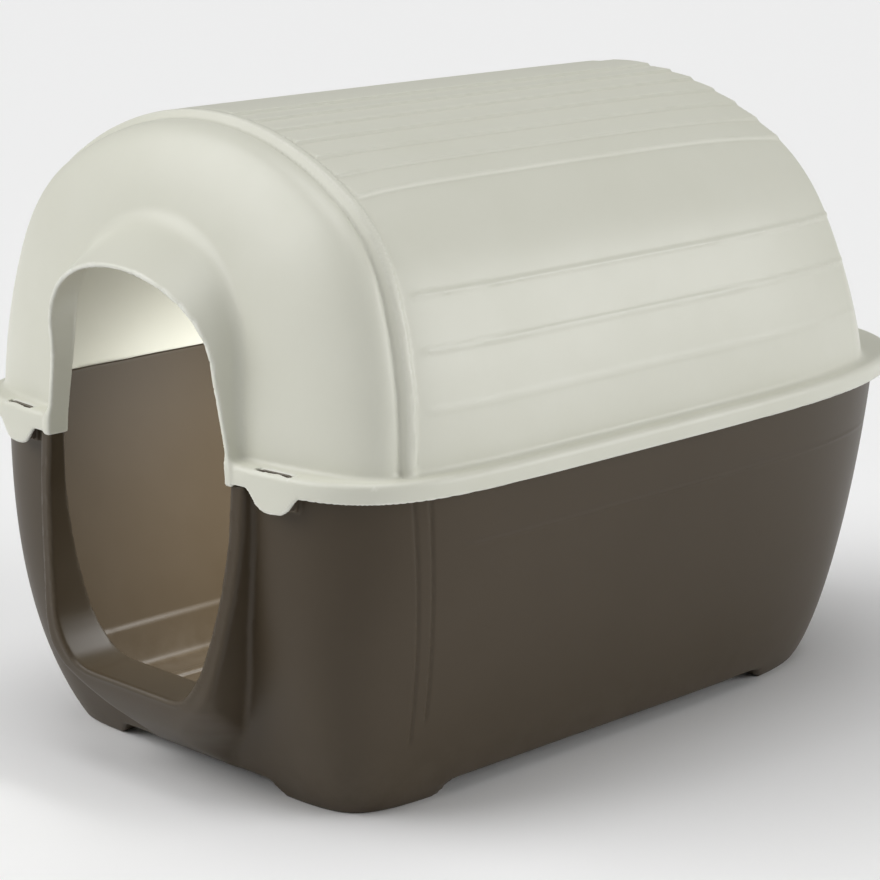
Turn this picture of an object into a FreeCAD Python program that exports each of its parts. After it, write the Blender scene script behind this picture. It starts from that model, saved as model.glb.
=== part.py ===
"""A dog house moulded in two plastic shells: a brown tub and a pale arched roof that lifts off.

Millimetres. +Z is up, the doorway faces -Y, +X is to the right of someone facing the doorway,
and the origin is on the ground under the middle of the house.
"""
import FreeCAD, Part
import math
import os

from FreeCAD import Vector

# ---- driving dimensions -------------------------------------------------------------------

WALL = 3.0                  # thickness of both mouldings
CLEARANCE = 0.3             # gap left between the roof and whatever it lifts away from

# The flange where the roof meets the tub. Its outline is a bowed rectangle with soft corners.
FLANGE_HALF_WIDTH = 215.0
FLANGE_FRONT = -301.0
FLANGE_REAR = 315.0
WIDEST_Y = -35.5            # the outline is widest a little in front of the middle
FLANGE_FRONT_SQUARENESS = 6.1
FLANGE_REAR_SQUARENESS = 3.64
FLANGE_BOTTOM = 220.0
FLANGE_TOP = 233.0
LEDGE_THICKNESS = 3.5

# The tub, from its outline on the ground to its rim. The side and rear walls belly out fast near
# the ground and then lean gently; the front wall is nearly upright over its upper half.
GROUND_GAP = 10.4           # the floor's underside stands this high on the feet
TUB_RIM = FLANGE_TOP - LEDGE_THICKNESS - CLEARANCE
TUB_WALL_TOP = 222.0        # the height at which the rim's outline is reached
TUB_BASE_HALF_WIDTH = 151.8
TUB_BASE_FRONT = -250.8
TUB_BASE_REAR = 242.0
TUB_BASE_SQUARENESS = (9.5, 5.4)
TUB_RIM_HALF_WIDTH = 205.0
TUB_RIM_FRONT = -291.0
TUB_RIM_REAR = 301.0
TUB_RIM_SQUARENESS = (5.8, 3.8)
BELLY_EXPONENT = 0.64
BELLY_START = -4.0          # the height from which the belly's curve is reckoned
FRONT_WALL_EASE = 3.0       # power of the ease with which the front wall turns upright
FLOOR_THICKNESS = 3.3
INNER_STEP_HEIGHT = 43.0    # a crease round the inside, above which the wall is thinner
INNER_STEP_DEPTH = 1.2
FLOOR_RIB_HEIGHT = 2.5
FLOOR_RIB_WIDTH = 8.0
FLOOR_RIB_PITCH = 24.0
FLOOR_RIB_COUNT = 11
FLOOR_RIB_REAR = 172.0

FOOT_INNER_X = 87.0
FOOT_FRONT_END_Y = -184.0
FOOT_REAR_END_Y = 154.0
FOOT_SLOPE = 15.0           # run of the arch's sloping ends
FOOT_BREADTH = 28.0

# The doorway: a deep U cut in a porch that stands out of the tub's front wall.
DOOR_SILL = 69.5
DOOR_HALF_WIDTH = 91.0
SILL_HALF_WIDTH = 42.0
PORCH_TOP = FLANGE_BOTTOM - 0.4
PORCH_BACK = -225.0         # the porch's sides run back to here inside the tub
PORCH_DRAFT = 0.06          # its sides spread by this share of the depth
# Height, half width, front face and length of the corner's bend, from the flange to the floor.
PORCH_STATIONS = ((PORCH_TOP, 102.5, -298.4, 3), (190, 102.0, -300.5, 3), (160, 99.5, -303.0, 3),
                  (125, 93.5, -307.0, 3), (100, 88.5, -310.5, 3), (82, 83.0, -312.0, 4),
                  (70, 78.0, -311.0, 9), (60, 73.5, -307.5, 17), (45, 66.5, -298.0, 28),
                  (30, 60.0, -283.0, 34), (GROUND_GAP + 1, 53.0, -258.0, 20))
# Height and half width of the doorway, from its open top down to the sill.
DOORWAY = ((215, 91.0), (190, 91.0), (160, 88.0), (140, 85.0), (120, 80.5), (100, 75.0), (88, 69.0),
           (77, 60.0), (71, 50.0), (DOOR_SILL, SILL_HALF_WIDTH))

# Two fine grooves that run down each side of the tub near the front.
GROOVE_PATH = ((-241.5, 219.0), (-228.0, 116.0), (-221.0, 51.0))
GROOVE_WIDTH = 2.0
GROOVE_DEPTH = 1.2
GROOVE_GAP = 11.0

# The roof's cross-section: a crown, two shoulders and two walls, all tangent arcs.
RIDGE = 433.0
ROOF_HALF_WIDTH = 204.0
CROWN_RADIUS = 260.0
SHOULDER_RADIUS = 110.0
ROOF_WALL_RADIUS = 280.0
DOME_DROP = 3.0             # the front dome lies this far below the vault behind it

FRONT_PLANE_Y = -248.0      # the vault's front end, at the ledge
FRONT_PLANE_LEAN = 12.0     # how far its crown stands behind its foot
FRONT_DOME_DEPTH = 43.5
FRONT_DOME_SQUARENESS = 2.8
REAR_PLANE_Y = 200.0
REAR_PLANE_LEAN = 30.0
REAR_DOME_DEPTH = 104.0
REAR_DOME_CROWN_DEPTH = 28.0
REAR_DOME_SQUARENESS = 1.6
LEDGE_WIDTH = 11.0

RIB_WIDTH = 9.0
RIB_HEIGHT = 2.2

BOARD_PITCH = 20.5          # measured along the crown
BOARD_STEP = 2.2
RIDGE_BOARD_HALF = 17.0
BOARD_COUNT = 7             # stepped boards on each side of the ridge board
FLANK_BEAD_HEIGHTS = (271.0, 307.0, 339.0)
BEAD_WIDTH = 3.0
BEAD_HEIGHT = 0.8

# The hood over the doorway, an arched tube that grows out of the front dome.
HOOD_HALF_WIDTH = 92.5
# Its arch at two stations along the house: half width, height of its springing, rise above that.
HOOD_STATIONS = ((-313.0, 82.0, 286.0, 61.0), (-268.0, 88.0, 300.0, 76.0))
HOOD_KNEE = 22.0            # its legs stand straight for this height above their feet
HOOD_FRONT_Y = -300.0
HOOD_LEAN = 15.0            # the top of its front edge stands this far in front of its foot
HOOD_LEAN_HEIGHT = 127.0
HOOD_LEAN_POWER = 2.5
HOOD_BACK_Y = -240.0

# Locking tongues: four brown tabs that stand on the tub's rim and pass up through the ledge.
TONGUE_X_FRONT = 128.3
TONGUE_X_REAR = 100.0
TONGUE_INSET = 5.6
TONGUE_LENGTH = 28.0
TONGUE_THICKNESS = 2.4
TONGUE_FOOT = 211.0
PAD_HALF = 14.0             # half the length of the pad that each tongue leans on
LUG_HALF = 7.0              # the tongue's lug, which is pressed into a hole in its pad
LUG_LENGTH = 10.0
LUG_THICKNESS = 5.0
SLOT_LENGTH = 31.0
SLOT_WIDTH = 4.0
# The lobe's outline: distance from its middle and height above the flange's foot.
LOBE_PROFILE = ((24.0, 1.5), (20.5, -0.4), (16.5, -4.6), (12.5, -9.4), (7.0, -12.4), (0.0, -13.0))
LOBE_DEPTH = 13.0

# The vent high in the roof's rear wall, and the plug in the floor's drain.
VENT_HEIGHT = 318.0
VENT_TILT = 34.0            # degrees that its face leans back from upright
VENT_RADIUS = 31.0
VENT_SEAT_Y = 247.5
VENT_PLATE = 2.4
VENT_WALL = 3.0             # from the plate's rim to the spigot that fills the hole
VENT_SLOTS = 6
VENT_SLOT_RADII = (9.0, 20.0)
VENT_TRACK_RADII = (21.6, 24.4)
VENT_TRACK_SWEEP = 40.0
SHUTTER_RADIUS = 25.6
RIVET_RADIUS = 2.5
DRAIN_Y = 196.0
DRAIN_RADIUS = 9.0


# ---- outlines -----------------------------------------------------------------------------

def power(value, exponent):
    return math.copysign(abs(value) ** exponent, value)


def plan_point(angle, half_width, front, rear, squareness):
    """A point of the bowed outline. Angle 0 is the right-hand side, 90 degrees is the rear."""
    c, s = math.cos(angle), math.sin(angle)
    reach = (rear - WIDEST_Y) if s >= 0 else (WIDEST_Y - front)
    n = squareness[1] if s >= 0 else squareness[0]
    return half_width * power(c, 2.0 / n), WIDEST_Y + reach * power(s, 2.0 / n)


def plan_wire(z, half_width, front, rear, squareness, points_per_side=12):
    count = 4 * points_per_side
    points = []
    for i in range(count):
        x, y = plan_point(2 * math.pi * i / count, half_width, front, rear, squareness)
        points.append(Vector(x, y, z))
    curve = Part.BSplineCurve()
    curve.interpolate(Points=points, PeriodicFlag=True)
    return Part.Wire([curve.toShape()])


def flange_wire(z, inset=0.0):
    squareness = (FLANGE_FRONT_SQUARENESS, FLANGE_REAR_SQUARENESS)
    return plan_wire(z, FLANGE_HALF_WIDTH - inset, FLANGE_FRONT + inset, FLANGE_REAR - inset, squareness)


def flange_half_width_at(y):
    """Half the flange's width at a station along the house."""
    if y >= WIDEST_Y:
        reach, n = FLANGE_REAR - WIDEST_Y, FLANGE_REAR_SQUARENESS
    else:
        reach, n = WIDEST_Y - FLANGE_FRONT, FLANGE_FRONT_SQUARENESS
    return FLANGE_HALF_WIDTH * (1 - (abs(y - WIDEST_Y) / reach) ** n) ** (1 / n)


def flange_y_at(x, rear):
    """Where the flange's edge lies at a distance x from the middle plane."""
    reach, n, sign = ((FLANGE_REAR - WIDEST_Y, FLANGE_REAR_SQUARENESS, 1) if rear
                      else (WIDEST_Y - FLANGE_FRONT, FLANGE_FRONT_SQUARENESS, -1))
    return WIDEST_Y + sign * reach * (1 - (abs(x) / FLANGE_HALF_WIDTH) ** n) ** (1 / n)


def tub_wire(z, inset=0.0):
    t = min(z / TUB_WALL_TOP, 1.0)
    start = (-BELLY_START / (TUB_WALL_TOP - BELLY_START)) ** BELLY_EXPONENT
    k = (((z - BELLY_START) / (TUB_WALL_TOP - BELLY_START)) ** BELLY_EXPONENT - start) / (1 - start)
    upright = 1 - (1 - t) ** FRONT_WALL_EASE
    mix = lambda low, high, share: low + (high - low) * share
    squareness = tuple(mix(low, high, t)
                       for low, high in zip(TUB_BASE_SQUARENESS, TUB_RIM_SQUARENESS))
    return plan_wire(z, mix(TUB_BASE_HALF_WIDTH, TUB_RIM_HALF_WIDTH, k) - inset,
                     mix(TUB_BASE_FRONT, TUB_RIM_FRONT, upright) + inset,
                     mix(TUB_BASE_REAR, TUB_RIM_REAR, k) - inset, squareness)


def tub_solid(bottom, top, inset):
    heights = [bottom + (top - bottom) * share for share in (0, 0.05, 0.13, 0.25, 0.4, 0.6, 0.8, 1.0)]
    return Part.makeLoft([tub_wire(z, inset) for z in heights], True, False)


def prism(wire, direction):
    return Part.Face(wire).extrude(direction)


def box(x0, x1, y0, y1, z0, z1):
    return Part.makeBox(x1 - x0, y1 - y0, z1 - z0, Vector(x0, y0, z0))


def mirrored(shape):
    return shape.mirror(Vector(0, 0, 0), Vector(1, 0, 0))


def spline(points):
    curve = Part.BSplineCurve()
    curve.interpolate(Points=points)
    return curve.toShape()


# ---- the roof's cross-section ---------------------------------------------------------------

class Arch:
    """The roof's section, inset by a distance: crown, shoulder and wall arcs, all tangent."""

    def __init__(self, inset=0.0):
        self.crown_centre = (0.0, RIDGE - CROWN_RADIUS)
        self.wall_centre = (ROOF_HALF_WIDTH - ROOF_WALL_RADIUS, FLANGE_TOP)
        self.crown_radius = CROWN_RADIUS - inset
        self.shoulder_radius = SHOULDER_RADIUS - inset
        self.wall_radius = ROOF_WALL_RADIUS - inset
        self.shoulder_centre = self._tangent_centre()
        self.crown_end = self._angle_from(self.crown_centre)
        self.wall_end = self._angle_from(self.wall_centre)

    def _tangent_centre(self):
        ax, az = self.crown_centre
        bx, bz = self.wall_centre
        ra = CROWN_RADIUS - SHOULDER_RADIUS
        rb = ROOF_WALL_RADIUS - SHOULDER_RADIUS
        gap = math.hypot(bx - ax, bz - az)
        along = (ra * ra - rb * rb + gap * gap) / (2 * gap)
        aside = math.sqrt(ra * ra - along * along)
        ux, uz = (bx - ax) / gap, (bz - az) / gap
        options = [(ax + along * ux - side * aside * uz, az + along * uz + side * aside * ux)
                   for side in (1, -1)]
        return max(options)

    def _angle_from(self, centre):
        return math.atan2(self.shoulder_centre[1] - centre[1], self.shoulder_centre[0] - centre[0])

    def point(self, angle, lift=0.0):
        """The section's point whose outward normal stands at this angle above the +X axis."""
        side = 1 if angle <= math.pi / 2 else -1
        a = angle if side > 0 else math.pi - angle
        if a >= self.crown_end:
            (cx, cz), r = self.crown_centre, self.crown_radius
        elif a >= self.wall_end:
            (cx, cz), r = self.shoulder_centre, self.shoulder_radius
        else:
            (cx, cz), r = self.wall_centre, self.wall_radius
        return side * (cx + (r + lift) * math.cos(a)), cz + (r + lift) * math.sin(a)

    def angle_at_height(self, z):
        low, high = 0.0, math.pi / 2
        for _ in range(40):
            middle = (low + high) / 2
            if self.point(middle)[1] < z:
                low = middle
            else:
                high = middle
        return low


def height_share(z):
    return (z - FLANGE_TOP) / (RIDGE - FLANGE_TOP)


def front_plane(z):
    return FRONT_PLANE_Y + FRONT_PLANE_LEAN * height_share(z)


def rear_plane(z):
    return REAR_PLANE_Y - REAR_PLANE_LEAN * height_share(z)


def width_share(y):
    return (flange_half_width_at(y) - LEDGE_WIDTH) / ROOF_HALF_WIDTH


def section_wire(arch, width, scale, y_at, foot_drop=0.0, points=33):
    """One cross-section of the roof: the arch above the ledge, closed along its foot."""
    arc = []
    for i in range(points):
        x, z = arch.point(math.pi * i / (points - 1))
        z = FLANGE_TOP + (z - FLANGE_TOP) * scale
        arc.append(Vector(x * width * scale, y_at(z), z))
    first, last = arc[0], arc[-1]
    edges = [spline(arc)]
    if foot_drop:
        low_last = Vector(last.x, y_at(last.z - foot_drop), last.z - foot_drop)
        low_first = Vector(first.x, y_at(first.z - foot_drop), first.z - foot_drop)
        corners = [last, low_last, low_first, first]
    else:
        corners = [last, first]
    edges += [Part.LineSegment(a, b).toShape() for a, b in zip(corners, corners[1:])]
    return Part.Wire(edges)


STATION_SHARES = (0.0, 0.25, 0.5, 0.75, 1.0)
CAP_SCALES = (1.0, 0.985, 0.95, 0.88, 0.76, 0.6, 0.42, 0.25)


def front_dome(arch, inset, overlap, foot_drop=0.0):
    """The rounded front end, from inside the vault forwards to a small flat at its middle."""
    width = width_share(FRONT_PLANE_Y)
    n = FRONT_DOME_SQUARENESS
    wires = [section_wire(arch, width, 1.0, lambda z: front_plane(z) + overlap, foot_drop)]
    for scale in CAP_SCALES:
        reach = (FRONT_DOME_DEPTH - inset) * (1 - scale ** n) ** (1 / n)
        y_at = lambda z, reach=reach: front_plane(z) - reach
        wires.append(section_wire(arch, width, scale, y_at, foot_drop))
    return Part.makeLoft(wires, True, False)


def station(share, front_shift=0.0):
    """A leaning plane across the house: share 0 is the vault's front end, share 1 its rear end."""
    return lambda z: (1 - share) * (front_plane(z) + front_shift) + share * rear_plane(z)


def vault(arch, front_shift=0.0, foot_drop=0.0):
    """The long vault between the rib and the rear dome."""
    wires = []
    for share in STATION_SHARES:
        y_at = station(share, front_shift)
        wires.append(section_wire(arch, width_share(y_at(FLANGE_TOP)), 1.0, y_at, foot_drop))
    return Part.makeLoft(wires, True, False)


def rear_dome(arch, inset, foot_drop=0.0):
    """The rounded rear end, from the vault backwards to a small flat at its middle."""
    width = width_share(REAR_PLANE_Y)
    n = REAR_DOME_SQUARENESS
    wires = []
    for scale in CAP_SCALES:
        bulge = (1 - scale ** n) ** (1 / n)

        def y_at(z, bulge=bulge):
            depth = REAR_DOME_DEPTH + (REAR_DOME_CROWN_DEPTH - REAR_DOME_DEPTH) * height_share(z)
            return rear_plane(z) + (depth - inset) * bulge
        wires.append(section_wire(arch, width, scale, y_at, foot_drop))
    return Part.makeLoft(wires, True, False)


def rib(arch):
    """The raised band across the front end of the vault."""
    width = width_share(FRONT_PLANE_Y)
    ends = [front_plane, lambda z: front_plane(z) + RIB_WIDTH]
    return Part.makeLoft([section_wire(arch, width, 1.0, y_at) for y_at in ends], True, True)


def strip_along_vault(arch, outline, parallel=False):
    """A thin strip lying on the vault. The outline gives (angle, lift) pairs of its section.

    Its lines draw together as the vault narrows, or else they stay parallel to the ridge.
    """
    wires = []
    for share in STATION_SHARES:
        y_at = station(share, RIB_WIDTH)
        width = width_share(y_at(FLANGE_TOP))
        points = []
        for angle, lift in outline:
            turn = math.acos(math.cos(angle) / width) if parallel else angle
            x, z = arch.point(turn, lift)
            points.append(Vector(x * width, y_at(z), z))
        wires.append(Part.makePolygon(points + points[:1]))
    return Part.makeLoft(wires, True, True)


def crown_boards(arch):
    """Overlapping boards that step down from the ridge to both sides, as one strip."""
    edges = [(RIDGE_BOARD_HALF + BOARD_PITCH * k) / CROWN_RADIUS for k in range(BOARD_COUNT)]
    half = [(edges[0], BOARD_STEP)]
    for upper, lower in zip(edges, edges[1:]):
        half += [(upper + 0.001, 0.2), (lower, BOARD_STEP)]
    half.append((edges[-1] + 0.001, -WALL / 2))
    right = [(math.pi / 2 - tilt, lift) for tilt, lift in half]
    left = [(math.pi - angle, lift) for angle, lift in right]
    underside = [(math.pi / 2 + (i / 5.0) * (edges[-1] - 0.02), -WALL / 2) for i in range(4, -5, -1)]
    return strip_along_vault(arch, right[::-1] + left + underside, parallel=True)


def flank_beads(arch):
    """Three low beads along each flank of the vault."""
    beads = []
    for height in FLANK_BEAD_HEIGHTS:
        angle = arch.angle_at_height(height)
        half = BEAD_WIDTH / 2 / ROOF_WALL_RADIUS
        outline = [(angle - half, -0.6), (angle - half / 3, BEAD_HEIGHT),
                   (angle + half / 3, BEAD_HEIGHT), (angle + half, -0.6)]
        bead = strip_along_vault(arch, outline)
        beads += [bead, mirrored(bead)]
    return beads


# ---- the hood ---------------------------------------------------------------------------------

def hood_wire(y, inset, foot):
    """The hood's arched section: two legs that lean in a little, under half an ellipse."""
    (y0, *front), (y1, *back) = HOOD_STATIONS
    t = (y - y0) / (y1 - y0)
    half_width, spring, rise = [a + (b - a) * t for a, b in zip(front, back)]
    half_width, rise, foot_half = half_width - inset, rise - inset, HOOD_HALF_WIDTH - inset
    knee = foot_half - 0.1 * (foot_half - half_width)
    right = [Vector(foot_half, y, foot), Vector(knee, y, foot + HOOD_KNEE)]
    arc = []
    for i in range(13):
        angle = math.pi * i / 12
        arc.append(Vector(half_width * math.cos(angle), y, spring + rise * math.sin(angle)))
    left = [Vector(-v.x, v.y, v.z) for v in reversed(right)]
    outline = spline(right + arc + left)
    return Part.Wire([outline, Part.LineSegment(left[-1], right[0]).toShape()])


def hood_solid(front, back, inset, foot):
    return Part.makeLoft([hood_wire(front, inset, foot), hood_wire(back, inset, foot)], True, True)


def space_before_hood():
    """Everything in front of the hood's curved front edge."""
    edge = []
    for i in range(9):
        z = 200.0 + 25.0 * i
        lean = min(max(z - FLANGE_BOTTOM, 0.0) / HOOD_LEAN_HEIGHT, 1.0)
        edge.append(Vector(-150, HOOD_FRONT_Y - HOOD_LEAN * lean ** HOOD_LEAN_POWER, z))
    far = HOOD_FRONT_Y - 80
    corners = [edge[-1], Vector(-150, far, edge[-1].z), Vector(-150, far, edge[0].z), edge[0]]
    edges = [spline(edge)] + [Part.LineSegment(a, b).toShape() for a, b in zip(corners, corners[1:])]
    return prism(Part.Wire(edges), Vector(300, 0, 0))


# ---- tongues, slots and lobes -------------------------------------------------------------------

def tongue_places():
    """Name, x, y, turn about Z and outward sign of each locking tongue, on the flange's edge."""
    places = []
    for end, x, rear in (("front", TONGUE_X_FRONT, False), ("rear", TONGUE_X_REAR, True)):
        step = 2.0
        slope = (flange_y_at(x + step, rear) - flange_y_at(x - step, rear)) / (2 * step)
        turn = math.degrees(math.atan(slope))
        y = flange_y_at(x, rear)
        for side, sign in (("right", 1), ("left", -1)):
            places.append((end + "_" + side, sign * x, y, sign * turn, 1 if rear else -1))
    return places


def on_flange(shape, place):
    """Move a shape drawn at the origin, with +Y outwards, to its place on the flange's edge."""
    _, x, y, turn, outward = place
    moved = shape.copy()
    if outward < 0:
        moved.rotate(Vector(0, 0, 0), Vector(0, 0, 1), 180)
    moved.rotate(Vector(0, 0, 0), Vector(0, 0, 1), turn)
    moved.translate(Vector(x, y, 0))
    return moved


def lug():
    return box(-LUG_HALF, LUG_HALF, -TONGUE_INSET - LUG_LENGTH, -TONGUE_INSET,
               TONGUE_FOOT + 2, TONGUE_FOOT + 2 + LUG_THICKNESS)


def locking_tongue(place):
    half = TONGUE_LENGTH / 2
    y0, y1 = -TONGUE_INSET - TONGUE_THICKNESS / 2, -TONGUE_INSET + TONGUE_THICKNESS / 2
    top = FLANGE_TOP - 0.5
    blade = box(-half, half, y0, y1, TONGUE_FOOT, top)
    corners = [e for e in blade.Edges
               if e.BoundBox.YLength > 1 and e.BoundBox.ZMin > top - 0.1 and e.BoundBox.XLength < 0.1]
    blade = blade.makeFillet(4.0, corners)
    return on_flange(blade.fuse(lug()).removeSplitter(), place)


def tongue_pad(place):
    """The pad on the tub's wall that a tongue's back rests on."""
    y1 = -TONGUE_INSET - TONGUE_THICKNESS / 2
    return on_flange(box(-PAD_HALF, PAD_HALF, -20, y1, TONGUE_FOOT - 2, FLANGE_BOTTOM + 1), place)


def ledge_slot(place):
    half = SLOT_LENGTH / 2
    y0, y1 = -TONGUE_INSET - SLOT_WIDTH / 2, -TONGUE_INSET + SLOT_WIDTH / 2
    return on_flange(box(-half, half, y0, y1, FLANGE_TOP - 8, FLANGE_TOP + 5), place)


def lobes(places):
    """Rounded aprons of the flange's skirt that hang below the slots."""
    bottom = FLANGE_BOTTOM - LOBE_DEPTH
    skirt = prism(flange_wire(bottom - 5), Vector(0, 0, LOBE_DEPTH + 10)).cut(
        prism(flange_wire(bottom - 6, WALL), Vector(0, 0, LOBE_DEPTH + 12)))
    aprons = []
    for place in places:
        x, y = place[1], place[2]
        right = [Vector(x + a, y - 12, FLANGE_BOTTOM + b) for a, b in LOBE_PROFILE]
        left = [Vector(2 * x - v.x, v.y, v.z) for v in reversed(right[:-1])]
        outline = spline(right + left)
        wire = Part.Wire([outline, Part.LineSegment(left[-1], right[0]).toShape()])
        aprons.append(prism(wire, Vector(0, 24, 0)).common(skirt))
    return aprons


# ---- the vent -----------------------------------------------------------------------------------

def at_vent(shape):
    """Move a shape drawn at the origin, with +Z outwards, to the vent's seat on the roof."""
    moved = shape.copy()
    moved.rotate(Vector(0, 0, 0), Vector(1, 0, 0), -(90 - VENT_TILT))
    moved.translate(Vector(0, VENT_SEAT_Y, VENT_HEIGHT))
    return moved


def disc(radius, bottom, top):
    return Part.makeCylinder(radius, top - bottom, Vector(0, 0, bottom))


def sector(inner, outer, bottom, top, start, sweep):
    """A piece of a ring between two radii, from a start angle through a sweep in degrees."""
    ring = Part.makeCylinder(outer, top - bottom, Vector(0, 0, bottom), Vector(0, 0, 1), sweep)
    ring = ring.cut(disc(inner, bottom - 1, top + 1))
    ring.rotate(Vector(0, 0, 0), Vector(0, 0, 1), start)
    return ring


def vent_windows(bottom, top):
    pitch = 360.0 / VENT_SLOTS
    inner, outer = VENT_SLOT_RADII
    return [sector(inner, outer, bottom, top, i * pitch + pitch / 4 + 1, pitch / 2 - 2)
            for i in range(VENT_SLOTS)]


def vent_grille():
    plate = disc(VENT_RADIUS, 0, VENT_PLATE)
    rim = [e for e in plate.Edges if e.BoundBox.ZMin > VENT_PLATE - 0.1]
    plate = plate.makeFillet(VENT_PLATE / 2, rim)
    spigot = disc(VENT_RADIUS - VENT_WALL, -8, 0.5).cut(disc(VENT_RADIUS - VENT_WALL - 2, -9, 1))
    track = sector(*VENT_TRACK_RADII, -1, 3, 90 - VENT_TRACK_SWEEP / 2, VENT_TRACK_SWEEP)
    return plate.fuse(spigot).cut(vent_windows(-1, 3) + [track, disc(RIVET_RADIUS, -1, 3)])


def vent_shutter():
    """The disc behind the grille, with a tab that is pushed along the grille's track."""
    inner, outer = VENT_TRACK_RADII
    plate = disc(SHUTTER_RADIUS, -2.3, -0.3)
    tab = sector(inner + 0.4, outer - 0.4, -0.5, 6.0, 90 - VENT_TRACK_SWEEP / 2 + 2, 6)
    return plate.fuse(tab).cut(vent_windows(-3, 0) + [disc(RIVET_RADIUS + 0.06, -3, 0)])


def vent_rivet():
    heads = [disc(2 * RIVET_RADIUS, VENT_PLATE, 4.0), disc(1.8 * RIVET_RADIUS, -3.8, VENT_PLATE - 4.8)]
    return disc(RIVET_RADIUS, -3.6, 2.6).fuse(heads).removeSplitter()


# ---- the roof -------------------------------------------------------------------------------------

def flange_slab():
    levels = ((FLANGE_BOTTOM, 0.0), (FLANGE_TOP - 3.5, 0.4), (FLANGE_TOP - 1.0, 1.2), (FLANGE_TOP, 3.2))
    return Part.makeLoft([flange_wire(z, inset) for z, inset in levels], True, True)


def roof_hollows():
    """What is taken out of the roof: the room, the flange's underside, the doorway and the vent."""
    drop = 16.0
    underside = FLANGE_TOP - LEDGE_THICKNESS
    pocket = prism(flange_wire(FLANGE_BOTTOM - 20, WALL), Vector(0, 0, underside - FLANGE_BOTTOM + 20))
    return [vault(Arch(WALL), WALL, drop),
            front_dome(Arch(DOME_DROP + WALL), WALL, WALL + 3.0, drop),
            rear_dome(Arch(WALL), WALL, drop),
            pocket.cut(hood_solid(-340.0, HOOD_BACK_Y, 0.0, FLANGE_BOTTOM - 25)),
            hood_solid(-340.0, HOOD_BACK_Y, WALL, FLANGE_BOTTOM - 25),
            at_vent(disc(VENT_RADIUS - VENT_WALL, -40, 5))]


def roof_shell():
    body = vault(Arch()).fuse([front_dome(Arch(DOME_DROP), 0.0, 12.0), rear_dome(Arch(), 0.0)])
    body = body.fuse([flange_slab(), rib(Arch(-RIB_HEIGHT)), crown_boards(Arch())])
    body = body.fuse(flank_beads(Arch()))
    body = body.fuse(lobes(tongue_places()))
    body = body.fuse(at_vent(disc(VENT_RADIUS + 3, -22, 0)))
    body = body.fuse(hood_solid(-330.0, HOOD_BACK_Y, 0.0, FLANGE_BOTTOM).cut(space_before_hood()))
    for hollow in roof_hollows():
        body = body.cut(hollow)
    return body.cut([ledge_slot(place) for place in tongue_places()])


# ---- the tub --------------------------------------------------------------------------------------

def porch_section(z, half_width, front, bend, back):
    """A closed outline of the porch at one height, with front corners that may be sharp or full."""
    foot = half_width + PORCH_DRAFT * (back - front)
    sides = []
    for side in (1, -1):
        corner, rear = Vector(side * half_width, front, z), Vector(side * foot, back, z)
        to_rear, to_face = (rear - corner).normalize(), Vector(-side, 0, 0)
        half_angle = to_rear.getAngle(to_face) / 2
        reach = bend / math.cos(half_angle) - bend * math.tan(half_angle)
        middle = corner + (to_rear + to_face).normalize() * reach
        sides.append((rear, corner + to_rear * bend, middle, corner + to_face * bend))
    (r0, r1, r2, r3), (l0, l1, l2, l3) = sides
    line = lambda a, b: Part.LineSegment(a, b).toShape()
    return Part.Wire([line(r0, r1), Part.Arc(r1, r2, r3).toShape(), line(r3, l3),
                      Part.Arc(l3, l2, l1).toShape(), line(l1, l0), line(l0, r0)])


def porch_solid():
    sections = [porch_section(*station, PORCH_BACK) for station in PORCH_STATIONS]
    return Part.makeLoft(sections, True, True)


def porch_room():
    """The hollow behind the porch's face, open to the room inside the tub."""
    low, high = GROUND_GAP + FLOOR_THICKNESS, PORCH_TOP - WALL
    sections = [porch_section(min(max(z, low), high), w - WALL, y + WALL, max(bend - 2, 1), PORCH_BACK)
                for z, w, y, bend in PORCH_STATIONS]
    return Part.makeLoft(sections, True, True)


def doorway_prism(front, back, grow=0.0):
    """The U of the doorway, run from one station to another along the house."""
    chain = [(w, z) for z, w in DOORWAY] + [(-w, z) for z, w in reversed(DOORWAY)]
    ahead = chain[1:] + [(-DOORWAY[0][1], 250)]
    behind = [(DOORWAY[0][1], 250)] + chain[:-1]
    points = []
    for (x, z), (xa, za), (xb, zb) in zip(chain, ahead, behind):
        length = math.hypot(xa - xb, za - zb)
        points.append(Vector(x + grow * (zb - za) / length, front, z + grow * (xa - xb) / length))
    right, left = points[:len(DOORWAY)], points[len(DOORWAY):]
    top_right, top_left = Vector(right[0].x, front, 250), Vector(left[-1].x, front, 250)
    corners = [(top_right, right[0]), (right[-1], left[0]), (left[-1], top_left), (top_left, top_right)]
    lines = [Part.LineSegment(a, b).toShape() for a, b in corners]
    wire = Part.Wire([lines[0], spline(right), lines[1], spline(left), lines[2], lines[3]])
    return prism(wire, Vector(0, back - front, 0))


def arch_outline(place, start, end):
    """The outline of the arch between two feet; place turns a station and a height into a point."""
    corners = [place(start, -1), place(start, 0), place(start + FOOT_SLOPE, GROUND_GAP),
               place(end - FOOT_SLOPE, GROUND_GAP), place(end, 0), place(end, -1), place(start, -1)]
    return Part.makePolygon(corners)


def under_floor():
    """What is taken from under the floor: arches between the four feet and the space they enclose."""
    across = arch_outline(lambda x, z: Vector(x, -400, z), -FOOT_INNER_X, FOOT_INNER_X)
    along = arch_outline(lambda y, z: Vector(-300, y, z), FOOT_FRONT_END_Y, FOOT_REAR_END_Y)
    return [prism(across, Vector(0, 800, 0)), prism(along, Vector(600, 0, 0)),
            prism(tub_wire(-1, FOOT_BREADTH), Vector(0, 0, GROUND_GAP + 1))]


def tub_rooms():
    """The space inside the tub, a little tighter below the crease than above it."""
    floor = GROUND_GAP + FLOOR_THICKNESS
    return [tub_solid(floor, INNER_STEP_HEIGHT, WALL + INNER_STEP_DEPTH),
            tub_solid(INNER_STEP_HEIGHT, TUB_RIM + 6, WALL)]


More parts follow.
